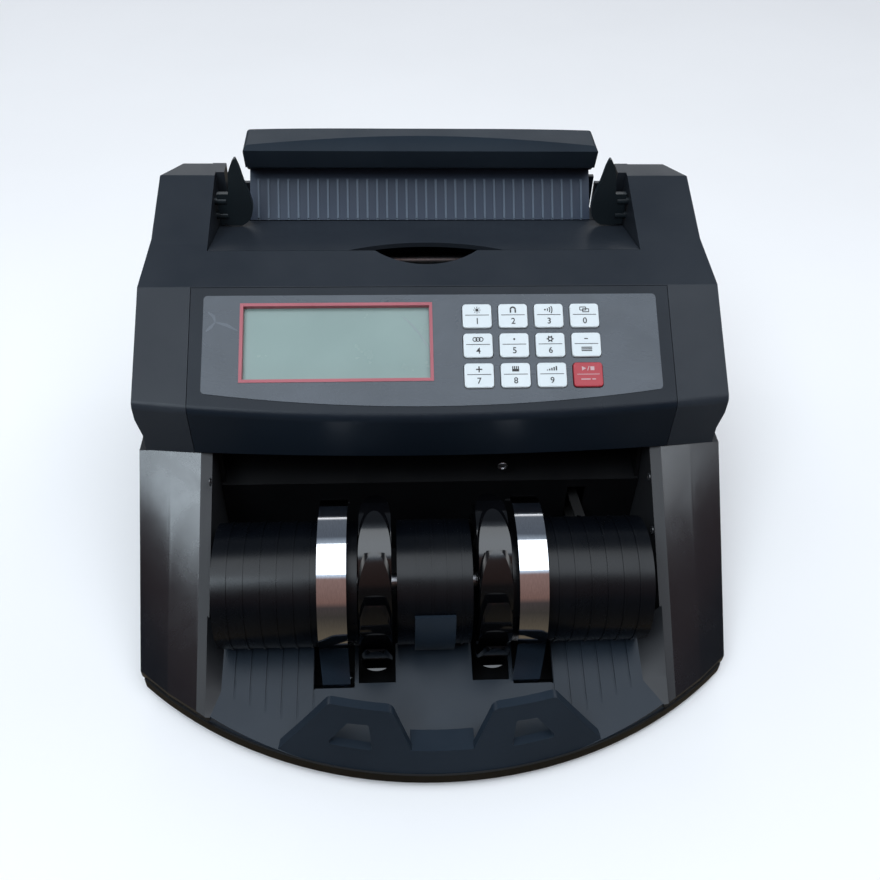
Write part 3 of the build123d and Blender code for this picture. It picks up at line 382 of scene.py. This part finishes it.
class Marks:
    """Collects flat inked shapes, given in millimetres on a key cap, as thin raised prisms."""

    def __init__(self):
        self.verts = []
        self.faces = []

    def prism(self, pts):
        n = len(pts)
        base = len(self.verts)
        for z in (0.0, MARK_THICKNESS):
            for x, y in pts:
                self.verts.append((x / 1000, y / 1000, z))
        self.faces.append([base + n + i for i in range(n)])
        self.faces.append([base + n - 1 - i for i in range(n)])
        for i in range(n):
            j = (i + 1) % n
            self.faces.append([base + i, base + j, base + n + j, base + n + i])

    def rect(self, cx, cy, w, h):
        x0, x1, y0, y1 = cx - w / 2, cx + w / 2, cy - h / 2, cy + h / 2
        self.prism([(x0, y0), (x1, y0), (x1, y1), (x0, y1)])

    def disc(self, cx, cy, r):
        self.prism(ring(r, 20, cx, cy))

    def bar(self, x0, y0, x1, y1, w):
        dx, dy = x1 - x0, y1 - y0
        d = math.hypot(dx, dy)
        nx, ny = -dy / d * w / 2, dx / d * w / 2
        self.prism([(x0 + nx, y0 + ny), (x0 - nx, y0 - ny),
                    (x1 - nx, y1 - ny), (x1 + nx, y1 + ny)])

    def rays(self, cy, count, r0, r1, w):
        """Short bars pointing away from (0, cy)."""
        for c, s in ring(1.0, count):
            self.bar(r0 * c, cy + r0 * s, r1 * c, cy + r1 * s, w)

    def arc(self, cx, cy, r, w, a0, a1, n=14):
        inner, outer = r - w / 2, r + w / 2
        for i in range(n):
            b0 = math.radians(a0 + (a1 - a0) * i / n)
            b1 = math.radians(a0 + (a1 - a0) * (i + 1) / n)
            self.prism([(cx + inner * math.cos(b0), cy + inner * math.sin(b0)),
                        (cx + outer * math.cos(b0), cy + outer * math.sin(b0)),
                        (cx + outer * math.cos(b1), cy + outer * math.sin(b1)),
                        (cx + inner * math.cos(b1), cy + inner * math.sin(b1))])

    def digit(self, ch, cx, cy, height):
        """One figure from the built-in sans font, laid down flat."""
        curve = bpy.data.curves.new("figure_" + ch, "FONT")
        curve.body = ch
        curve.size = 1.0
        curve.offset = 0.012
        obj = new_object("figure_" + ch, curve)
        graph = bpy.context.evaluated_depsgraph_get()
        mesh = bpy.data.meshes.new_from_object(obj.evaluated_get(graph))
        xs = [v.co.x for v in mesh.vertices]
        ys = [v.co.y for v in mesh.vertices]
        k = height / (max(ys) - min(ys))
        mx, my = (min(xs) + max(xs)) / 2, (min(ys) + max(ys)) / 2
        base = len(self.verts)
        for v in mesh.vertices:
            self.verts.append(((cx + (v.co.x - mx) * k) / 1000, (cy + (v.co.y - my) * k) / 1000,
                               MARK_THICKNESS))
        for poly in mesh.polygons:
            self.faces.append([base + i for i in poly.vertices])
        bpy.data.meshes.remove(mesh)
        bpy.data.objects.remove(obj)
        bpy.data.curves.remove(curve)


# Pictograms for the upper half of each key, centred on (0, cy), all in millimetres.
def icon_lamp(m, cy):
    m.disc(0, cy, 0.8)
    m.rays(cy, 8, 1.15, 1.75, 0.35)


def icon_magnet(m, cy):
    m.arc(0, cy + 0.2, 1.2, 0.75, 0, 180)
    m.rect(-1.2, cy - 0.7, 0.75, 1.6)
    m.rect(1.2, cy - 0.7, 0.75, 1.6)


def icon_waves(m, cy):
    m.disc(-1.8, cy, 0.45)
    for r in (1.3, 2.4, 3.5):
        m.arc(-1.8, cy, r, 0.5, -32, 32, 8)


def icon_pair(m, cy):
    """Two notes, one over the other."""
    w, h = 1.5, 0.8
    for dx, dy in ((-0.7, 0.45), (0.7, -0.45)):
        for x0, y0, x1, y1 in ((-w, -h, w, -h), (-w, h, w, h), (-w, -h, -w, h), (w, -h, w, h)):
            m.bar(x0 + dx, cy + y0 + dy, x1 + dx, cy + y1 + dy, 0.38)


def icon_coins(m, cy):
    for dx in (-1.5, 0.0, 1.5):
        m.arc(dx, cy, 1.0, 0.42, 0, 360, 18)


def icon_dot(m, cy):
    m.disc(0, cy, 0.5)


def icon_gear(m, cy):
    m.arc(0, cy, 0.95, 0.6, 0, 360, 18)
    m.rays(cy, 6, 1.1, 1.75, 0.55)


def icon_minus(m, cy):
    m.rect(0, cy, 1.8, 0.5)


def icon_stack(m, cy):
    for dy in (-0.85, 0.0, 0.85):
        m.rect(0, cy + dy, 5.2, 0.5)


def icon_plus(m, cy):
    m.rect(0, cy, 3.0, 0.6)
    m.rect(0, cy, 0.6, 3.0)


def icon_hand(m, cy):
    m.rect(0, cy - 0.6, 3.4, 1.3)
    for dx in (-1.35, -0.45, 0.45, 1.35):
        m.rect(dx, cy + 0.7, 0.55, 1.5)


def icon_bars(m, cy):
    """Five columns of growing height on one foot line."""
    for i in range(5):
        m.rect(-2.2 + 1.1 * i, cy - 0.9 + 0.22 * (i + 1), 0.65, 0.44 * (i + 1))


def icon_go(m, cy):
    """Start, a stroke, stop."""
    m.prism([(-3.0, cy - 1.1), (-1.0, cy), (-3.0, cy + 1.1)])
    m.bar(-0.3, cy - 1.1, 0.5, cy + 1.1, 0.4)
    m.rect(2.1, cy, 1.9, 1.9)


ICON_Y_MM = 2.75
# Each key's pictogram and the figure under it, row by row from the top left.
LEGENDS = [
    (icon_lamp, "1"), (icon_magnet, "2"), (icon_waves, "3"), (icon_pair, "0"),
    (icon_coins, "4"), (icon_dot, "5"), (icon_gear, "6"), (icon_minus, None),
    (icon_plus, "7"), (icon_hand, "8"), (icon_bars, "9"), (icon_go, None),
]
for key, (icon, figure) in zip(KEYS, LEGENDS):
    marks = Marks()
    ink = INK
    icon(marks, ICON_Y_MM)
    if icon is icon_go:
        ink = INK_WHITE
        marks.rect(0, -0.2, 11.0, 0.3)
        marks.rect(-1.4, -2.7, 4.6, 0.5)
        marks.rect(2.6, -2.7, 1.8, 0.5)
    else:
        marks.rect(0, 0.15, 11.6, 0.32)
        if figure is None:
            icon_stack(marks, -2.6)
        else:
            marks.digit(figure, 0, -3.0, 3.1)
    mesh_piece(key + "_legend", marks.verts, marks.faces, ink, key + "_body", key_matrix(key))


# ---------------------------------------------------------------- panel: crease and scratch
def panel_point(x, u, w):
    """A point in metres: x across, u up the slope and w out of the panel, in millimetres."""
    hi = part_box("panel_overlay")[1]
    c, s = math.cos(PANEL_SLOPE), math.sin(PANEL_SLOPE)
    y0 = hi.y - FILM_LENGTH * c
    z0 = hi.z - FILM_LENGTH * s - FILM_THICKNESS * c
    return Vector((x / 1000, y0 + (u * c - w * s) / 1000, z0 + (u * s + w * c) / 1000))


def stroke(points, width):
    """Quads along a chain of (x, u) points, narrower at both ends."""
    n = len(points) - 1
    sides = []
    for i, (x, u) in enumerate(points):
        a, b = points[max(i - 1, 0)], points[min(i + 1, n)]
        dx, du = b[0] - a[0], b[1] - a[1]
        d = math.hypot(dx, du)
        half = width / 2 * (0.35 if i in (0, n) else 1.0)
        sides.append(((x - du / d * half, u + dx / d * half),
                      (x + du / d * half, u - dx / d * half)))
    return [[sides[i][0], sides[i][1], sides[i + 1][1], sides[i + 1][0]] for i in range(n)]


def panel_strokes(name, chains, width, height, mat):
    verts, faces = [], []
    for chain in chains:
        for quad in stroke(chain, width):
            faces.append(list(range(len(verts), len(verts) + 4)))
            verts += [panel_point(x, u, height) for x, u in quad]
    mesh_piece(name, verts, faces, mat, "case")


FORK = (-105.3, 39.8)       # where the three folds of the crease meet
# The crease strips are drawn in the lighter crease colour, a painted reflection on the fold.
panel_strokes("film_crease", [
    [(-108.9, 45.0), (-106.3, 42.9), FORK],
    [(-109.7, 35.1), (-107.6, 37.0), FORK],
    [FORK, (-99.9, 38.2), (-94.6, 35.4)],
], 1.7, 0.42, CREASE_REFLECTION)
panel_strokes("window_scratch", [
    [(-15.0, 43.4), (-11.1, 39.7), (-7.3, 35.0), (-4.0, 29.8), (-1.6, 25.9)],
], 0.55, -2.44, PALE_LINE)


# ---------------------------------------------------------------- round parts in the pocket
def lathe(name, profile, matrix, mat, n=24):
    """Turned piece on the case: profile is (radius, height) in millimetres about local Z."""
    verts, faces = [], []
    for r, h in profile:
        verts += [(x / 1000, y / 1000, h / 1000) for x, y in ring(r, n)]
    last = (len(profile) - 1) * n
    for row in range(0, last, n):
        for i in range(n):
            j = (i + 1) % n
            faces.append([row + i, row + j, row + n + j, row + n + i])
    faces.append([last + i for i in range(n)])
    faces.append([n - 1 - i for i in range(n)])
    shade(mesh_piece(name, verts, faces, mat, "case", matrix), 40)


def facing(x, y, z, direction):
    """A frame at a point in millimetres whose local Z looks along a direction."""
    turn = Vector(direction).to_track_quat("Z", "Y").to_matrix().to_4x4()
    return Matrix.Translation(Vector((x, y, z)) / 1000) @ turn


EYE = [(2.1, 0.0), (2.1, 0.35), (1.9, 0.6), (1.45, 0.6), (1.3, 0.35), (0.9, 0.55), (0.4, 0.68)]
SCREW = [(2.6, 0.0), (2.6, 0.3), (2.35, 0.5), (1.75, 0.5), (1.6, 0.3), (1.6, 0.1)]
lathe("sensor_eye_left", EYE, facing(-WALL_MM, -24.5, 83.9, (1, 0, 0)), LENS)
lathe("sensor_eye_right", EYE, facing(WALL_MM, -18.9, 76.4, (-1, 0, 0)), LENS)
lathe("sensor_eye_right_low", EYE, facing(WALL_MM, -40.3, 60.2, (-1, 0, 0)), LENS)
lathe("guide_screw", SCREW, facing(36.0, BRACKET_FACE_MM, 73.0, (0, -1, 0)), STEEL)

# ---------------------------------------------------------------- floor
FLOOR_HALF = 6.0
FLOOR_GAP = 0.0002
paint = Surface("floor_pale")
floor_mesh = bpy.data.meshes.new("floor")
floor_mesh.from_pydata([(x * FLOOR_HALF, y * FLOOR_HALF, CAD_LO.z - FLOOR_GAP)
                        for x, y in ((-1, -1), (1, -1), (1, 1), (-1, 1))], [], [(0, 1, 2, 3)])
floor = new_object("floor", floor_mesh)
dress(floor, paint.wire(paint.ramp(paint.noise(3.0), [(0.3, 0.90), (0.7, 0.93)]),
                        Roughness=0.85, Specular_IOR_Level=0.1))
floor.visible_glossy = False

# ---------------------------------------------------------------- studio light
world = bpy.data.worlds.new("studio")
bpy.context.scene.world = world
studio = Graph(world, "Generated")
_, AHEAD, UP = studio.xyz()


def sky(stops):
    """Studio brightness by height: position is 0 straight down, 0.5 level, 1 straight up."""
    return studio.ramp(studio.math("MULTIPLY_ADD", UP, 0.5, 0.5), stops)


# In front of the object the walls are dim and warm under a pale ceiling.
FRONT_SKY = sky([
    (0.0, (0.17, 0.14, 0.095)), (0.5, (0.05, 0.045, 0.04)), (0.62, (0.06, 0.05, 0.05)),
    (0.68, (0.19, 0.115, 0.10)), (0.90, (0.26, 0.17, 0.155)), (0.92, (0.60, 0.72, 0.88)),
    (1.0, (0.64, 0.78, 0.96)),
])
# Behind it, a bright band low down lights the tops of the shoulders and of the bar.
BACK_SKY = sky([
    (0.0, (0.17, 0.14, 0.095)), (0.5, (0.10, 0.10, 0.10)), (0.60, (0.60, 0.62, 0.64)),
    (0.68, (2.20, 2.24, 2.28)), (0.75, (2.00, 2.05, 2.10)), (0.80, (0.12, 0.14, 0.17)),
    (0.96, (0.10, 0.12, 0.15)), (1.0, (0.50, 0.60, 0.72)),
])
front_share = studio.math("MULTIPLY_ADD", AHEAD, -4.0, 0.3, clamp=True)
background = studio.tree.nodes["Background"]
studio.link(studio.mix(front_share, BACK_SKY, FRONT_SKY), background.inputs["Color"])
background.inputs["Strength"].default_value = 1.0


def area(name, location, target, size, energy, colour):
    data = bpy.data.lights.new(name, "AREA")
    data.shape = "RECTANGLE"
    data.size, data.size_y = size
    data.energy = energy
    data.color = colour
    obj = new_object(name, data)
    obj.location = location
    aim = Vector(target) - Vector(location)
    obj.rotation_euler = aim.to_track_quat("-Z", "Y").to_euler()


PALE, BLUISH = (0.93, 0.97, 1.0), (0.76, 0.90, 1.0)
MACHINE = (0, 0, 0.08)
area("overhead", (0.0, -0.42, 1.9), (0, -0.42, 0.0), (2.6, 1.5), 25.0, PALE)
area("left_window", (-0.80, -1.10, 1.66), MACHINE, (0.75, 0.75), 12.0, BLUISH)
area("right_window", (0.88, -1.14, 1.68), MACHINE, (0.6, 0.65), 1.6, BLUISH)

# ---------------------------------------------------------------- camera
CAM_POS = (-0.0214, -0.3414, 0.4148)
CAM_YAW, CAM_PITCH, CAM_ROLL = (math.radians(v) for v in (4.19, 43.81, -2.10))
look = Vector((math.sin(CAM_YAW) * math.cos(CAM_PITCH), math.cos(CAM_YAW) * math.cos(CAM_PITCH),
               -math.sin(CAM_PITCH)))
level = Vector((math.cos(CAM_YAW), -math.sin(CAM_YAW), 0.0))
down = look.cross(level)
right = math.cos(CAM_ROLL) * level + math.sin(CAM_ROLL) * down
below = -math.sin(CAM_ROLL) * level + math.cos(CAM_ROLL) * down
cam_data = bpy.data.cameras.new("camera")
cam_data.sensor_width = 36.0
cam_data.lens = 38.09
cam_data.clip_start = 0.01
cam_data.clip_end = 50.0
camera = new_object("camera", cam_data)
camera.matrix_world = Matrix([(right[i], -below[i], -look[i], CAM_POS[i]) for i in range(3)]
                             + [(0, 0, 0, 1)])
bpy.context.scene.camera = camera
bpy.context.scene.view_settings.view_transform = "Standard"
